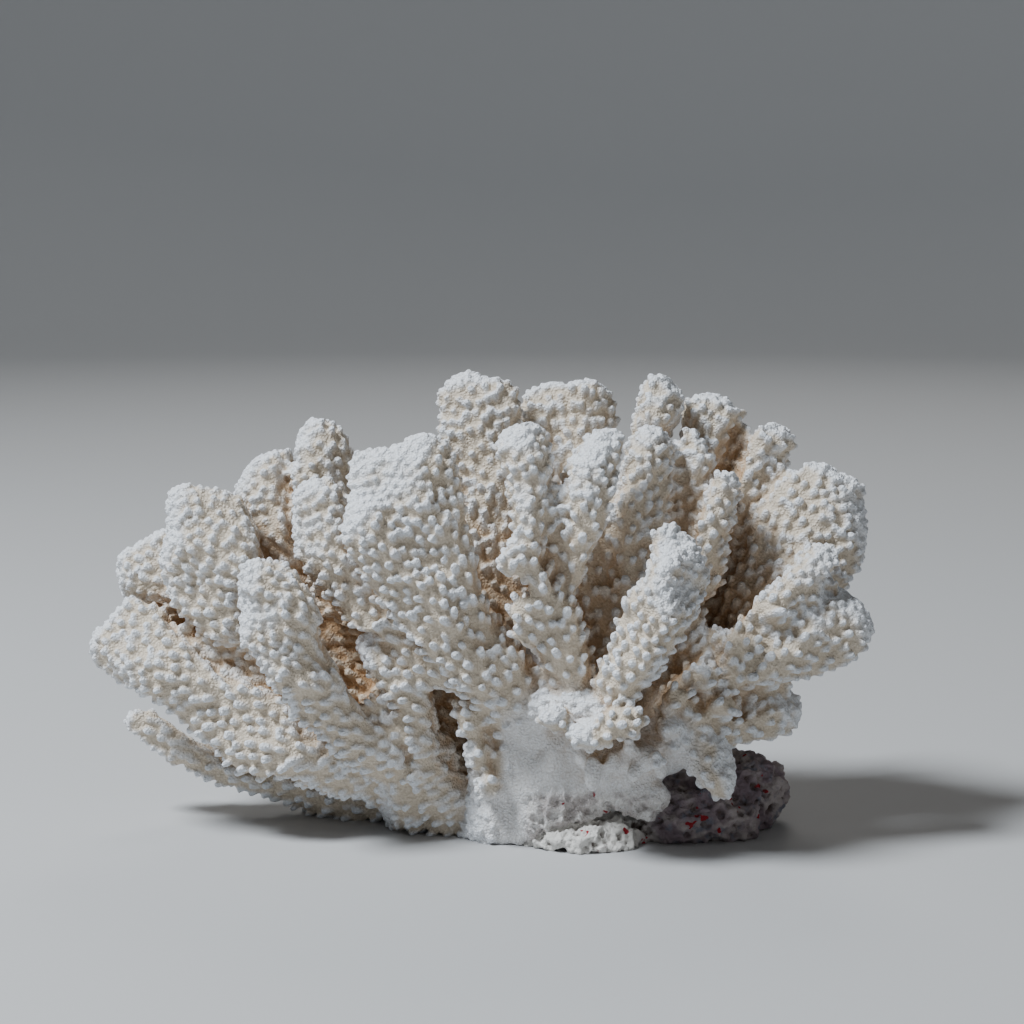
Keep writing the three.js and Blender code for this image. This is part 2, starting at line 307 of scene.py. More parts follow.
# ---- the holdfast and the core of the limbs ----
# The coral is one limestone skeleton. Its limbs fork from the holdfast and widen into blades, fans and
# fingers, each a dense core that the corallites stand on. The holdfast is smooth, with a few knobs.

GAP_FILL, ROUGH_CORE, FINE_CORE = 0.35 * MM, 1.5 * MM, 1.2 * MM
coral_nodes = sorted(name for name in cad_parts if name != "reef_rock")
core = copy_of(coral_nodes, "core")
shape_with(core, "DISPLACE", strength=GAP_FILL, mid_level=0)
shape_with(core, "REMESH", mode="VOXEL", voxel_size=ROUGH_CORE)
only(core)
bpy.ops.object.mode_set(mode="EDIT")
bpy.ops.mesh.separate(type="LOOSE")
bpy.ops.object.mode_set(mode="OBJECT")
shells = sorted(bpy.context.selected_objects, key=lambda shell: -len(shell.data.vertices))
core = shells[0]
for cavity in shells[1:]:
    bpy.data.objects.remove(cavity)
core.name = "core"

# The limbs fan out from the heart of the trunk. A place belongs to the limb whose solid is nearest.
HEART_LEVEL = 0.3
middle_x, middle_y = (trunk_low.x + trunk_high.x) / 2, (trunk_low.y + trunk_high.y) / 2
heart = np.array([middle_x, middle_y, HEART_LEVEL * trunk_high.z])
limb_places, limb_faces, face_limb, reach_of = [], [], [], []
for number, name in enumerate(coral_nodes):
    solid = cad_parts[name].data
    first = sum(len(places) for places in limb_places)
    limb_places.append(coords(solid))
    limb_faces += [[first + corner for corner in face.vertices] for face in solid.polygons]
    face_limb += [number] * len(solid.polygons)
    far = np.linalg.norm(limb_places[-1] - heart, axis=1)
    reach_of.append((far.min(), far.max()))
limb_tree = BVHTree.FromPolygons(np.concatenate(limb_places).tolist(), limb_faces)
face_limb, reach_of = np.array(face_limb), np.array(reach_of)


def limbs_at(places):
    """The number of the limb that each place belongs to."""
    return face_limb[[limb_tree.find_nearest(place)[2] for place in places.tolist()]]


def shape_some(piece, wanted, kind, **settings):
    """Applies a modifier only as far as each vertex is wanted, from 0 to 1 in steps of a fifth."""
    group = piece.vertex_groups.new(name="wanted")
    for weight in (0.2, 0.4, 0.6, 0.8, 1.0):
        group.add(np.flatnonzero(wanted >= weight).tolist(), weight, "REPLACE")
    shape_with(piece, kind, vertex_group="wanted", **settings)
    piece.vertex_groups.clear()


on_trunk = limbs_at(coords(core.data)) == coral_nodes.index("holdfast")
shape_some(core, ~on_trunk, "SMOOTH", factor=0.5, iterations=24)
shape_some(core, on_trunk, "SMOOTH", factor=0.5, iterations=3)


def normals_of(mesh):
    return read(mesh.vertices, "normal", each=3)


def unit(vectors):
    """The vectors at length 1."""
    return vectors / np.maximum(np.linalg.norm(vectors, axis=-1, keepdims=True), 1e-9)


def along_limb(places, limb):
    """How far along its limb each place lies, from 0 at the fork to 1 at the tip."""
    nearest, farthest = reach_of[limb].T
    return np.clip((np.linalg.norm(places - heart, axis=1) - nearest) / (farthest - nearest), 0, 1)


# Limbs that grow side by side part in a groove, which runs out towards their fork.
GROOVE_WIDTH, GROOVE_DEPTH = 6.5 * MM, 5.5 * MM
core_places = coords(core.data)
core_limb = limbs_at(core_places)
edges = read(core.data.edges, "vertices", np.int32, each=2)
first, second = core_limb[edges].T
seams = edges[(first != second) & ~on_trunk[edges].any(1)]
seam_places = core_places[seams].mean(1)
beside = [smoothstep(0.05, 0.3, along_limb(seam_places, core_limb[side])) for side in seams.T]
groove = beside[0] * beside[1]
seam_tree = KDTree(len(seams))
for number, place in enumerate(seam_places.tolist()):
    seam_tree.insert(place, number)
seam_tree.balance()
found = [seam_tree.find(place)[1:] for place in core_places.tolist()]
seam, gap = np.array(found).T
cut = groove[seam.astype(int)] * smoothstep(GROOVE_WIDTH, 0, gap)
shape_some(core, cut, "DISPLACE", strength=-GROOVE_DEPTH, mid_level=0)

# The limbs are fluted along their growth, so that their rims are lobed.
FLUTES, FLUTE_DEPTH = 9, 5 * MM
core_places, core_normals = coords(core.data), normals_of(core.data)
flutes = np.array([lumpiness(FLUTES * Vector(way)) for way in unit(core_places - heart).tolist()])
flutes *= smoothstep(0.1, 0.5, along_limb(core_places, core_limb)) * ~on_trunk
core_places += core_normals * (FLUTE_DEPTH * flutes)[:, None]
core.data.vertices.foreach_set("co", core_places.ravel())
core.data.update()

# The limbs swell and narrow as they grow, and the trunk lies in soft folds.
SWELL_SIZE, SWELL_HEIGHT = 16 * MM, 6 * MM
FOLD_SIZE, FOLD_HEIGHT = 9 * MM, 5 * MM
swells = lump_texture("swells", "CLOUDS", SWELL_SIZE, noise_depth=2)
shape_some(core, ~on_trunk, "DISPLACE", texture=swells, strength=SWELL_HEIGHT, mid_level=0.70)
folds = lump_texture("folds", "CLOUDS", FOLD_SIZE, noise_depth=1)
shape_some(core, on_trunk, "DISPLACE", texture=folds, strength=FOLD_HEIGHT, mid_level=0.5)

# The trunk grew knobs on its front: across and up its box, as shares, then width and height in mm.
KNOB_LIFT = 0.45
TRUNK_KNOBS = (
    (0.51, 0.44, 6, 13), (0.59, 0.49, 5, 8), (0.64, 0.54, 5, 5), (0.66, 0.46, 5, 6), (0.71, 0.51, 5, 7),
    (0.74, 0.43, 5, 8), (0.62, 0.39, 4, 4),
    (0.11, 0.66, 9, 13), (0.13, 0.48, 8, 12), (0.15, 0.32, 7, 10),
    (0.40, 0.72, 10, 8), (0.47, 0.70, 15, 9), (0.56, 0.71, 14, 10),
    (0.80, 0.82, 8, 6), (0.90, 0.85, 8, 6), (0.92, 0.91, 6, 5), (0.77, 0.74, 6, 5), (0.84, 0.73, 6, 6),
    (0.95, 0.79, 9, 6), (0.78, 0.63, 8, 6), (0.87, 0.66, 6, 5),
)
core_tree = tree_of(core.data)
in_front = 2 * cad_box[0].y
knobs = []
for across, up, wide, tall in TRUNK_KNOBS:
    start = Vector((trunk_low.x + across * (trunk_high.x - trunk_low.x), in_front, up * trunk_high.z))
    spot, way, _, _ = core_tree.ray_cast(start, Vector((0, 1, 0)))
    bpy.ops.object.select_all(action="DESELECT")
    bpy.ops.mesh.primitive_uv_sphere_add(
        segments=16, ring_count=10, radius=wide / 2 * MM, location=spot + KNOB_LIFT * wide * MM * way,
        scale=(1, 1, tall / wide))
    knobs.append(bpy.context.object)
only(core)
for knob in knobs:
    knob.select_set(True)
bpy.ops.object.join()
shape_with(core, "REMESH", mode="VOXEL", voxel_size=FINE_CORE)
shape_with(core, "SMOOTH", factor=0.5, iterations=1)

# ---- the corallites ----
# Each coral animal left a short limestone tube that leans towards the growing rim. The tubes stand apart low
# on the blades, crowd together near the tips, and on the rims and finger ends they merge into a beaded skin.

# BARE is the spacing that stands for no tubes at all.
BARE, WIDEST_ROOM = 50 * MM, 20 * MM
LEAN_SCATTER, LEAST_SIZE, MOST_SIZE = 0.12, 0.85, 1.15


def settle(mesh, spacing, growth, seed, stretch=0.5, tries=7):
    """Random places on the mesh, at least the spacing there apart, and further along the growth than across
    it, as (corners, shares). Where the spacing is over WIDEST_ROOM there are none."""
    mesh.calc_loop_triangles()
    corners = read(mesh.loop_triangles, "vertices", np.int32, each=3)
    places = coords(mesh)
    a, b, c = (places[corners[:, k]] for k in range(3))
    area = np.linalg.norm(np.cross(b - a, c - a), axis=1) / 2
    room = spacing[corners].mean(1)
    crowd = np.where(room < WIDEST_ROOM, area / room**2, 0)
    rng = np.random.default_rng(seed)
    darts = rng.choice(len(corners), int(tries * crowd.sum()), p=crowd / crowd.sum())
    shares = rng.dirichlet((1, 1, 1), len(darts))
    hits = (places[corners[darts]] * shares[:, :, None]).sum(1)
    rooms = (spacing[corners[darts]] * shares).sum(1)
    ways = unit((growth[corners[darts]] * shares[:, :, None]).sum(1))

    # a cell is wide enough for the darts near one to lie in the cells around its own
    cell = 1.5 * float(np.percentile(rooms, 99))
    grid, kept = {}, []
    around = [(i, j, k) for i in (-1, 0, 1) for j in (-1, 0, 1) for k in (-1, 0, 1)]
    homes = np.floor(hits / cell).astype(int).tolist()
    for dart, (here, home, clear, way) in enumerate(zip(hits.tolist(), homes, rooms.tolist(), ways.tolist())):
        x, y, z = here
        gx, gy, gz = way
        free = True
        for i, j, k in around:
            for px, py, pz, other in grid.get((home[0] + i, home[1] + j, home[2] + k), ()):
                dx, dy, dz = px - x, py - y, pz - z
                need = 0.5 * (clear + other)
                if dx * dx + dy * dy + dz * dz - stretch * (dx * gx + dy * gy + dz * gz) ** 2 < need * need:
                    free = False
                    break
            if not free:
                break
        if free:
            grid.setdefault(tuple(home), []).append((x, y, z, clear))
            kept.append(dart)
    return corners[darts[kept]], shares[kept]


def geometry_tree(name):
    """An empty geometry node tree, with what comes in and where the result goes."""
    tree = bpy.data.node_groups.new(name, "GeometryNodeTree")
    tree.interface.new_socket("Geometry", in_out="INPUT", socket_type="NodeSocketGeometry")
    tree.interface.new_socket("Geometry", in_out="OUTPUT", socket_type="NodeSocketGeometry")
    return tree, node(tree, "NodeGroupInput").outputs[0], node(tree, "NodeGroupOutput").inputs[0]


def named(tree, name, kind="FLOAT"):
    """The output of a stored attribute."""
    reader = node(tree, "GeometryNodeInputNamedAttribute", data_type=kind)
    reader.inputs["Name"].default_value = name
    return reader.outputs["Attribute"]


def run_tree(piece, tree):
    """Runs this geometry node tree on the piece, and keeps what it makes."""
    only(piece)
    modifier = piece.modifiers.new(tree.name, "NODES")
    modifier.node_group = tree
    bpy.ops.object.modifier_apply(modifier=modifier.name)


def stand(name, host, shapes, spacing, growth, lean, size, seed):
    """Copies of the shapes, settled on the host's surface at this spacing, leaning and sized as given."""
    corners, shares = settle(host.data, spacing, growth, seed)

    def there(values):
        return (values[corners] * shares[:, :, None]).sum(1)

    rng = np.random.default_rng(seed + 1)
    places = there(coords(host.data))
    leans = unit(unit(there(lean)) + rng.normal(0, LEAN_SCATTER, places.shape))
    sites = bpy.data.meshes.new(name)
    sites.from_pydata(places.tolist(), [], [])
    store(sites, "lean", leans, "FLOAT_VECTOR")
    store(sites, "across", np.cross(there(growth), there(normals_of(host.data))), "FLOAT_VECTOR")
    sizes = there(size) * rng.uniform(LEAST_SIZE, MOST_SIZE, (len(places), 1))
    store(sites, "size", sizes, "FLOAT_VECTOR")
    chosen = sites.attributes.new("shape", "INT", "POINT")
    chosen.data.foreach_set("value", rng.integers(len(shapes), size=len(places)))
    piece = bpy.data.objects.new(name, sites)
    bpy.context.scene.collection.objects.link(piece)

    tree, points, result = geometry_tree(name)
    link = tree.links.new
    tilt = node(tree, "FunctionNodeAlignRotationToVector", axis="Z")
    link(named(tree, "lean", "FLOAT_VECTOR"), tilt.inputs["Vector"])
    swing = node(tree, "FunctionNodeAlignRotationToVector", axis="X", pivot_axis="Z")
    link(tilt.outputs["Rotation"], swing.inputs["Rotation"])
    link(named(tree, "across", "FLOAT_VECTOR"), swing.inputs["Vector"])
    choice = node(tree, "GeometryNodeJoinGeometry")
    for shape in reversed(shapes):
        source = node(tree, "GeometryNodeObjectInfo")
        source.inputs["Object"].default_value = shape
        source.inputs["As Instance"].default_value = True
        link(source.outputs["Geometry"], choice.inputs["Geometry"])
    copies = node(tree, "GeometryNodeInstanceOnPoints")
    copies.inputs["Pick Instance"].default_value = True
    link(points, copies.inputs["Points"])
    link(choice.outputs["Geometry"], copies.inputs["Instance"])
    link(named(tree, "shape", "INT"), copies.inputs["Instance Index"])
    link(swing.outputs["Rotation"], copies.inputs["Rotation"])
    link(named(tree, "size", "FLOAT_VECTOR"), copies.inputs["Scale"])
    real = node(tree, "GeometryNodeRealizeInstances")
    link(copies.outputs["Instances"], real.inputs["Geometry"])
    link(real.outputs["Geometry"], result)
    run_tree(piece, tree)
    return piece


def pick(piece, wanted):
    """Goes into edit mode with only the wanted vertices selected."""
    only(piece)
    bpy.ops.object.mode_set(mode="EDIT")
    bpy.ops.mesh.select_all(action="DESELECT")
    bpy.ops.object.mode_set(mode="OBJECT")
    for vertex in piece.data.vertices:
        vertex.select = wanted(vertex.co)
    bpy.ops.object.mode_set(mode="EDIT")


def tube(name, root, mouth):
    """A tube 1 unit across, with its domed end 1 unit up and its root sunk below the origin. mouth is how
    deep the cup in its end goes."""
    bpy.ops.object.select_all(action="DESELECT")
    bpy.ops.mesh.primitive_uv_sphere_add(segments=10, ring_count=7, radius=0.5)
    piece = bpy.context.object
    piece.name = name
    bpy.ops.object.mode_set(mode="EDIT")
    bpy.ops.mesh.select_all(action="SELECT")
    bpy.ops.transform.translate(value=(0, 0, 0.5))
    bpy.ops.object.mode_set(mode="OBJECT")
    pick(piece, lambda place: place.z < 0.5)
    bpy.ops.transform.translate(value=(0, 0, -root))
    bpy.ops.object.mode_set(mode="OBJECT")
    pick(piece, lambda place: place.z > 0.9)
    bpy.ops.transform.translate(value=(0, 0, -mouth))
    bpy.ops.object.mode_set(mode="OBJECT")
    return piece


# The rims are the outermost parts of the limbs, where they face along their growth.
places, normals = coords(core.data), normals_of(core.data)
growth = unit(places - heart)
along = along_limb(places, limbs_at(places))
facing = (growth * normals).sum(1)
rim = smoothstep(0.15, 0.7, facing) * smoothstep(0.5, 0.8, along)
young = smoothstep(0.4, 0.95, along)

# The trunk is bare near its heart, but for a brow of tubes on its front and a ridge of them on its left.
BARE_RADIUS, GROWN_RADIUS = 32 * MM, 52 * MM
BROW_ACROSS, BROW_UP = 0.49, 0.71
grown = smoothstep(BARE_RADIUS, GROWN_RADIUS, np.linalg.norm(places - heart, axis=1))
across = (places[:, 0] - trunk_low.x) / (trunk_high.x - trunk_low.x)
up = places[:, 2] / trunk_high.z
brow = smoothstep(0.13, 0.07, abs(up - BROW_UP)) * smoothstep(0.16, 0.11, abs(across - BROW_ACROSS))
ridge = smoothstep(0.22, 0.16, across) * smoothstep(0.22, 0.34, up)
not_behind = normals[:, 1] < 0.3
grown = np.maximum(grown, 0.9 * np.maximum(brow, ridge) * not_behind)
# How open each spot of the core is: walled-in spots get no tubes, and it sets the painted shade in the skin's
# colours.
clear = openness(core.data, rays=16, reach=45 * MM)
store(core.data, "open", clear)
store(core.data, "grown", grown)
store(core.data, "rim", rim)


def blend(bare, old, tips, rims):
    """A measure of the corallites, in millimetres, from bare trunk to low blade, limb tip and rim."""
    on_blade = old + (tips - old) * young
    standing = bare + (on_blade - bare) * grown
    return (standing + (rims - standing) * rim) * MM


walled_in, bald = clear < 0.03, grown < 0.05
spacing = np.where(walled_in | bald, BARE, blend(4.5, 3.0, 2.5, 1.9))
width = blend(3.8, 2.9, 2.7, 2.2)
thick = blend(3.4, 2.4, 2.3, 2.0)
height = blend(1.2, 3.9, 2.8, 1.3)
size = np.stack([width, thick, height], 1)

# A tube leans along the growth, and stands up from the surface by this share of that.
STANCE = 0.6
lean = unit(STANCE * normals + growth)
shapes = [
    tube("plain_tube", root=0.9, mouth=0),
    tube("open_tube", root=0.9, mouth=0.32),
    tube("short_tube", root=0.7, mouth=0.1),
]
corallites = stand("corallites", core, shapes, spacing, growth, lean, size, seed=11)

# The tubes and the core are one skin.
FINE_SKIN, MOST_TRIANGLES = 0.55 * MM, 820000
only(core)
bpy.ops.object.duplicate()
colony = bpy.context.object
colony.name = "colony"
corallites.select_set(True)
bpy.ops.object.join()
shape_with(colony, "REMESH", mode="VOXEL", voxel_size=FINE_SKIN)
shape_with(colony, "SMOOTH", factor=0.3, iterations=1)

# The foot is worn and crusted over at its front and right, like the rock that it stands on.
CRUST_BORE_DEPTH, CRUST_GRIT_HEIGHT = 3.4 * MM, 2 * MM
x, y, z = coords(colony.data).T
crusted = smoothstep(24 * MM, 15 * MM, z) * smoothstep(-16 * MM, -8 * MM, x)
crusted = crusted * smoothstep(0, -8 * MM, y)
shape_some(colony, crusted, "DISPLACE", texture=bores, strength=CRUST_BORE_DEPTH, mid_level=0.6)
shape_some(colony, crusted, "DISPLACE", texture=grit, strength=CRUST_GRIT_HEIGHT, mid_level=0.5)
store(colony.data, "crust", crusted)
share = min(1, MOST_TRIANGLES / (2 * len(colony.data.polygons)))
shape_with(colony, "DECIMATE", ratio=share, use_collapse_triangulate=True)
saw_flat(colony)

# What the skin needs for its colours, its painted shade among them: how far it stands out from the core, and
# what the core is like there.
tree, surface, result = geometry_tree("weathering_and_painted_shade")
source = node(tree, "GeometryNodeObjectInfo")
source.inputs["Object"].default_value = core
near = node(tree, "GeometryNodeProximity", target_element="FACES")
tree.links.new(source.outputs["Geometry"], near.inputs[0])
marks = {"height": near.outputs["Distance"]}
for name in ("open", "grown", "rim"):
    sample = node(tree, "GeometryNodeSampleNearestSurface", data_type="FLOAT")
    tree.links.new(source.outputs["Geometry"], sample.inputs["Mesh"])
    tree.links.new(named(tree, name), sample.inputs["Value"])
    marks[name] = sample.outputs["Value"]
for name, value in marks.items():
    keep = node(tree, "GeometryNodeStoreNamedAttribute", data_type="FLOAT", domain="POINT")
    keep.inputs["Name"].default_value = name
    tree.links.new(surface, keep.inputs["Geometry"])
    tree.links.new(value, keep.inputs["Value"])
    surface = keep.outputs["Geometry"]
tree.links.new(surface, result)
run_tree(colony, tree)
for spare in shapes:
    bpy.data.objects.remove(spare)

# Each pair of colours is for shelter, where it is browner, and for the open, where it has bleached.
# VALLEYS, TRUNK_SKINS and TUBE_ENDS pair a sheltered colour, browner from stain and darker from painted
# shade, with a paler open one.
VALLEYS = (0.56, 0.36, 0.20, 1), (0.72, 0.63, 0.51, 1)
TRUNK_SKINS = (0.55, 0.40, 0.26, 1), (0.86, 0.86, 0.87, 1)
TUBE_ENDS = (0.72, 0.60, 0.46, 1), (0.88, 0.92, 0.98, 1)
CRUST_GREYS = (0.60, 0.56, 0.55, 1), (0.86, 0.85, 0.84, 1)
GRAIN_SHADES = (0.84, 0.82, 0.79, 1), (1, 1, 1, 1)
coral, tree, shader = material("coral_skeleton")
grains = grainy(tree, shader, size=0.9 * MM, relief=0.45 * MM)
# Painted shade, partly stain: the skin darkens and browns where little sky is open, deep between limbs and
# tubes.
bleach_and_painted_light = between(tree, mark(tree, "open"), 0.12, 0.68)
trunk_skin = mix(tree, bleach_and_painted_light, *TRUNK_SKINS)
valley = mix(tree, bleach_and_painted_light, *VALLEYS)
low_skin = mix(tree, between(tree, mark(tree, "grown"), 0.1, 0.9), trunk_skin, valley)
# Low between the tubes the skin keeps the darker, browner valley and trunk colours, partly stain and partly
# painted shade between the tubes.
raised = between(tree, mark(tree, "height"), 0.1 * MM, 1.9 * MM)
skin = mix(tree, raised, low_skin, mix(tree, bleach_and_painted_light, *TUBE_ENDS))
skin = mix(tree, between(tree, mark(tree, "rim"), 0.1, 1.25), skin, TUBE_ENDS[1])
old_crust = mix(tree, between(tree, noise(tree, 6 * MM), 0.4, 0.62), *CRUST_GREYS)
old_crust = mix(tree, between(tree, noise(tree, SPECK_SIZE, detail=2), 0.675, 0.69), old_crust, CRIMSON)
skin = mix(tree, between(tree, mark(tree, "crust"), 0.3, 0.9), skin, old_crust)
grain_shade = mix(tree, between(tree, grains, -0.35, 0.45), *GRAIN_SHADES)
skin = mix(tree, 1.0, skin, grain_shade, blend="MULTIPLY")
tree.links.new(skin, shader.inputs["Base Color"])
shader.inputs["Roughness"].default_value = 0.75

# ---- the limbs, parted where they fork ----
# The skeleton parts at its forks into one closed piece for each limb, which keeps the limb's name. A piece
# is closed by a web inside the coral, and its shading runs on over the join.


def groups_of(count, links):
    """Numbers each member by the group that the links join it to."""
    group = np.arange(count)
    while True:
        ends = np.sort(group[links], axis=1)
        ends = ends[ends[:, 0] != ends[:, 1]]
        if not len(ends):
            return group
        np.minimum.at(group, ends[:, 1], ends[:, 0])
        while (group[group] != group).any():
            group = group[group]


def outvote(labels, links, kinds):
    """Gives each member the label that most of its neighbours have, where -1 has no vote."""
    votes = np.zeros(len(labels) * kinds, np.int32)
    for here, there in ((0, 1), (1, 0)):
        voting = labels[links[:, there]] >= 0
        ballots = links[voting, here].astype(np.int64) * kinds + labels[links[voting, there]]
        votes += np.bincount(ballots, minlength=len(votes)).astype(np.int32)
    votes = votes.reshape(-1, kinds)
    winner = votes.argmax(1)
    return np.where(votes.max(1) > 0, winner, labels)


# The skin belongs to the limb that its root on the core belongs to, and the border between limbs runs even.
BORDER_VOTES = 8
mesh = colony.data
core_tree = tree_of(core.data)
triangles = read(mesh.loops, "vertex_index", np.int32).reshape(-1, 3)
edges = read(mesh.edges, "vertices", np.int32, each=2)
skin_places, skin_normals = coords(mesh), normals_of(mesh)
roots = np.array([core_tree.find_nearest(place)[0] for place in skin_places.tolist()])
vertex_limb = limbs_at(roots)
for _ in range(BORDER_VOTES):
    vertex_limb = outvote(vertex_limb, edges, len(coral_nodes))
a, b, c = vertex_limb[triangles].T
limb_of = np.where(b == c, b, a)

# Neighbouring triangles share an edge. A limb keeps its largest patch, and its neighbours take the others.
loop_edges = read(mesh.loops, "edge_index", np.int32)
order = np.argsort(loop_edges, kind="stable")
twins = loop_edges[order][:-1] == loop_edges[order][1:]
neighbours = np.stack([order[:-1][twins] // 3, order[1:][twins] // 3], 1)
shell = groups_of(len(triangles), neighbours)
outer = shell == np.bincount(shell).argmax()
same = limb_of[neighbours[:, 0]] == limb_of[neighbours[:, 1]]
patch = groups_of(len(triangles), neighbours[same])
patch_size = np.bincount(patch, minlength=len(triangles))
for number in range(len(coral_nodes)):
    mine = np.flatnonzero((limb_of == number) & outer)
    main = patch[mine][patch_size[patch[mine]].argmax()]
    limb_of[mine[patch[mine] != main]] = -1
while (limb_of[outer] < 0).any():
    stray = limb_of < 0
    limb_of[stray] = outvote(limb_of, neighbours, len(coral_nodes))[stray]


def rings_of(borders):
    """The closed rings that these directed border edges make, none passing a corner twice."""
    onward = {}
    for start, end in borders.tolist():
        onward.setdefault(start, []).append(end)
    rings = []
    for start in list(onward):
        trail, seen = [start], {start: 0}
        while onward.get(trail[-1]):
            step = onward[trail[-1]].pop()
            if step in seen:
                ring = trail[seen[step]:]
                rings.append(ring)
                for corner in ring[1:]:
                    del seen[corner]
                trail = trail[:seen[step] + 1]
            else:
                seen[step] = len(trail)
                trail.append(step)
    return rings


WALL = 1.2 * MM
SINKINGS, EASINGS = 4, 6
LEAST_CORNERS, MOST_CORNERS = 6, 48
OUTSIDE_COST = 60 * MM


def depth_at(place):
    """How deep a place lies in the core, with the nearest spot on its surface and the way out there."""
    spot, way, _, _ = core_tree.find_nearest(place)
    return (spot - Vector(place)).dot(way), spot, way


def eased(ring):
    """The ring with each corner drawn towards its two neighbours."""
    return ring / 2 + (np.roll(ring, 1, 0) + np.roll(ring, -1, 0)) / 4


def sunk(ring):
    """A ring close to this one that runs smoothly under the surface of the core."""
    for _ in range(SINKINGS):
        for _ in range(EASINGS):
            ring = eased(ring)
        places = []
        for place in ring.tolist():
            depth, spot, way = depth_at(place)
            places.append(place if depth > WALL else spot - WALL * way)
        ring = np.array(places)
    return eased(ring)


def outside_share(start, end):
    """How much of the straight way between two places runs outside the core."""
    shares = (0.2, 0.4, 0.6, 0.8)
    return sum(depth_at(start + share * (end - start))[0] < 0 for share in shares) / len(shares)


def web_of(corners):
    """The triangles that span the ring of corners with the least area. A side that runs outside the core
    costs as much as a strip of web that is OUTSIDE_COST wide."""
    count = len(corners)
    spots = [Vector(corner) for corner in corners]
    side_cost = np.zeros((count, count))
    for i in range(count):
        for j in range(i + 2, count):
            length = (spots[i] - spots[j]).length
            side_cost[i, j] = outside_share(spots[i], spots[j]) * length * OUTSIDE_COST
    cost, split = np.zeros((count, count)), np.zeros((count, count), int)
    for span in range(2, count):
        for i in range(count - span):
            j = i + span
            middle = np.arange(i + 1, j)
            ways = corners[middle] - corners[i]
            area = np.linalg.norm(np.cross(ways, corners[j] - corners[i]), axis=1) / 2
            total = cost[i, middle] + cost[middle, j] + area
            best = total.argmin()
            cost[i, j] = total[best] + side_cost[i, j]
            split[i, j] = middle[best]
    web, todo = [], [(0, count - 1)]
    while todo:
        i, j = todo.pop()
        if j - i > 1:
            k = split[i, j]
            web.append((i, k, j))
            todo += [(i, k), (k, j)]
    return web


# A limb is its part of the skin, with a strip from each border ring to the sunk ring inside and a web across
# that. A tiny hole is closed straight across. The skin keeps the normals it had, so that no join shows.
mark_values = {}
for mark_name in ("height", "open", "grown", "rim", "crust"):
    mark_values[mark_name] = read(mesh.attributes[mark_name].data, "value")
for number, name in enumerate(coral_nodes):
    faces = triangles[(limb_of == number) & outer]
    used, faces = np.unique(faces, return_inverse=True)
    faces = faces.reshape(-1, 3)
    here, ways = skin_places[used], skin_normals[used]
    sides = np.concatenate([faces[:, [0, 1]], faces[:, [1, 2]], faces[:, [2, 0]]]).astype(np.int64)
    codes, backs = sides[:, 0] * len(used) + sides[:, 1], sides[:, 1] * len(used) + sides[:, 0]
    borders = sides[~np.isin(codes, backs)]
    inner, followed, closing = [], [], []
    for ring in rings_of(borders):
        if len(ring) < LEAST_CORNERS:
            closing += [(ring[0], ring[k + 1], ring[k]) for k in range(1, len(ring) - 1)]
            continue
        first = len(used) + len(followed)
        inside = sunk(here[ring])
        inner.append(inside)
        followed += ring
        for k, corner in enumerate(ring):
            onward, after = ring[(k + 1) % len(ring)], first + (k + 1) % len(ring)
            closing += [(onward, corner, first + k), (onward, first + k, after)]
        count = min(len(ring), MOST_CORNERS)
        starts = [len(ring) * corner // count for corner in range(count)]
        for start, stop in zip(starts, starts[1:] + [len(ring)]):
            span = range(start + 1, stop)
            closing += [(first + (k + 1) % len(ring), first + k, first + start) for k in span]
        corners = [first + start for start in starts]
        closing += [(corners[k], corners[i], corners[j]) for i, k, j in web_of(inside[starts])]
    limb_mesh = bpy.data.meshes.new(name + "_skeleton")
    everywhere = np.concatenate([here, *inner])
    limb_mesh.from_pydata(everywhere.tolist(), [], faces.tolist() + closing)
    for mark_name, values in mark_values.items():
        inner_values = 0 * values[used][followed] if mark_name == "height" else values[used][followed]
        store(limb_mesh, mark_name, np.concatenate([values[used], inner_values]))
    limb_mesh.materials.append(coral)
    limb_mesh.shade_smooth()
    a, b, c = (everywhere[corner] for corner in np.array(closing).T)
    flat = np.repeat(unit(np.cross(b - a, c - a)), 3, axis=0)
    limb_mesh.normals_split_custom_set(np.concatenate([ways[faces.ravel()], flat]).tolist())
    piece = bpy.data.objects.new(name + "_skeleton", limb_mesh)
    bpy.context.scene.collection.objects.link(piece)
    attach(piece, "root")
    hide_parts(name)
for spare in (core, colony):
    bpy.data.objects.remove(spare)

# ---- the stage ----
# A pale bowl: a level floor that curves up into a wall all round. A soft lamp lights the coral from the upper
# left, and two faint ones keep its right side and its outline from going dark.

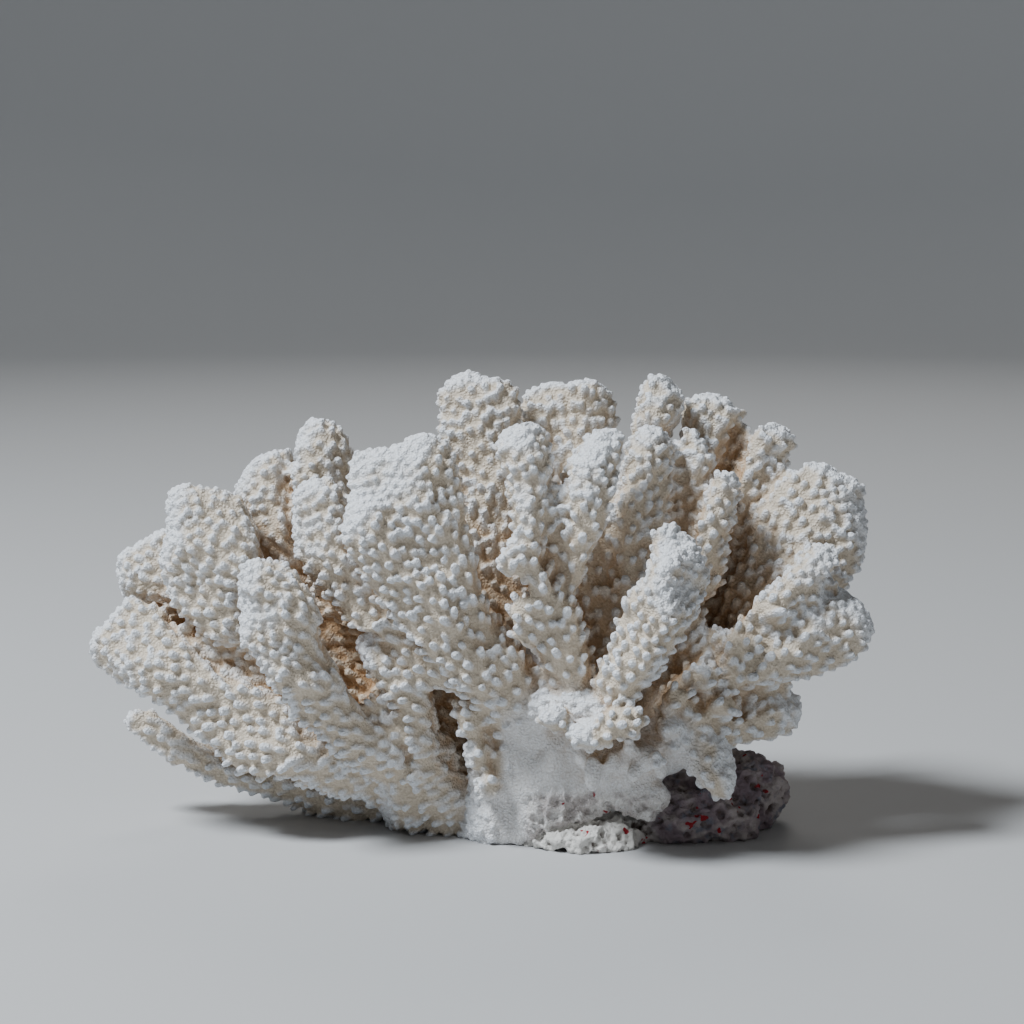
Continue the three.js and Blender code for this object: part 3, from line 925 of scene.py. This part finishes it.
FLOOR_RADIUS, CURVE_RADIUS, CURVE_STEPS, WALL_HEIGHT = 2.2, 0.9, 10, 1.2
bpy.ops.object.select_all(action="DESELECT")
bpy.ops.mesh.primitive_circle_add(vertices=96, radius=FLOOR_RADIUS, fill_type="NGON")
floor = bpy.context.object
floor.name = "floor"
bpy.ops.object.mode_set(mode="EDIT")
bpy.ops.mesh.select_all(action="SELECT")
for step in range(1, CURVE_STEPS + 1):
    angles = [math.pi / 2 * k / CURVE_STEPS for k in (step - 1, step)]
    rise = CURVE_RADIUS * (math.cos(angles[0]) - math.cos(angles[1]))
    out = CURVE_RADIUS * (math.sin(angles[1]) - math.sin(angles[0]))
    radius = FLOOR_RADIUS + CURVE_RADIUS * math.sin(angles[0])
    bpy.ops.mesh.extrude_region_move(TRANSFORM_OT_translate={"value": (0, 0, rise)})
    bpy.ops.transform.resize(value=[(radius + out) / radius] * 2 + [1])
bpy.ops.mesh.extrude_region_move(TRANSFORM_OT_translate={"value": (0, 0, WALL_HEIGHT)})
bpy.ops.mesh.delete(type="ONLY_FACE")
bpy.ops.object.mode_set(mode="OBJECT")
bpy.ops.object.shade_smooth()
paint, tree, shader = material("floor")
shader.inputs["Base Color"].default_value = (0.50, 0.50, 0.50, 1)
shader.inputs["Roughness"].default_value = 0.9
floor.data.materials.append(paint)

world = bpy.data.worlds.new("studio")
bpy.context.scene.world = world
world.use_nodes = True
world.node_tree.nodes["Background"].inputs["Color"].default_value = (0.75, 0.78, 0.82, 1)
world.node_tree.nodes["Background"].inputs["Strength"].default_value = 0.05

DAYLIGHT, LAMPLIGHT = (0.88, 0.94, 1.0), (1, 0.97, 0.93)
LAMP_AIM = Vector((0, 0, 0.08))


def softbox(name, place, size, power, colour):
    """A round lamp at this place, turned to the coral."""
    light = bpy.data.lights.new(name, "AREA")
    light.shape = "DISK"
    light.size = size
    light.energy = power
    light.color = colour
    lamp = bpy.data.objects.new(name, light)
    bpy.context.scene.collection.objects.link(lamp)
    lamp.location = place
    lamp.rotation_euler = (LAMP_AIM - Vector(place)).to_track_quat("-Z", "Y").to_euler()


softbox("key", (-0.95, -0.45, 1.5), size=0.5, power=54, colour=DAYLIGHT)
softbox("fill", (1.6, -1.6, 0.9), size=1.2, power=2, colour=LAMPLIGHT)
softbox("back", (0.2, 1.6, 1.5), size=0.8, power=8, colour=LAMPLIGHT)

DISTANCE, ELEVATION = 0.806, math.radians(8)
aim = Vector((-0.016, 0, 0.1087))
camera = bpy.data.objects.new("camera", bpy.data.cameras.new("camera"))
bpy.context.scene.collection.objects.link(camera)
camera.data.lens = 85
camera.data.sensor_width = 36
camera.location = aim + DISTANCE * Vector((0, -math.cos(ELEVATION), math.sin(ELEVATION)))
camera.rotation_euler = (aim - camera.location).to_track_quat("-Z", "Y").to_euler()
bpy.context.scene.camera = camera
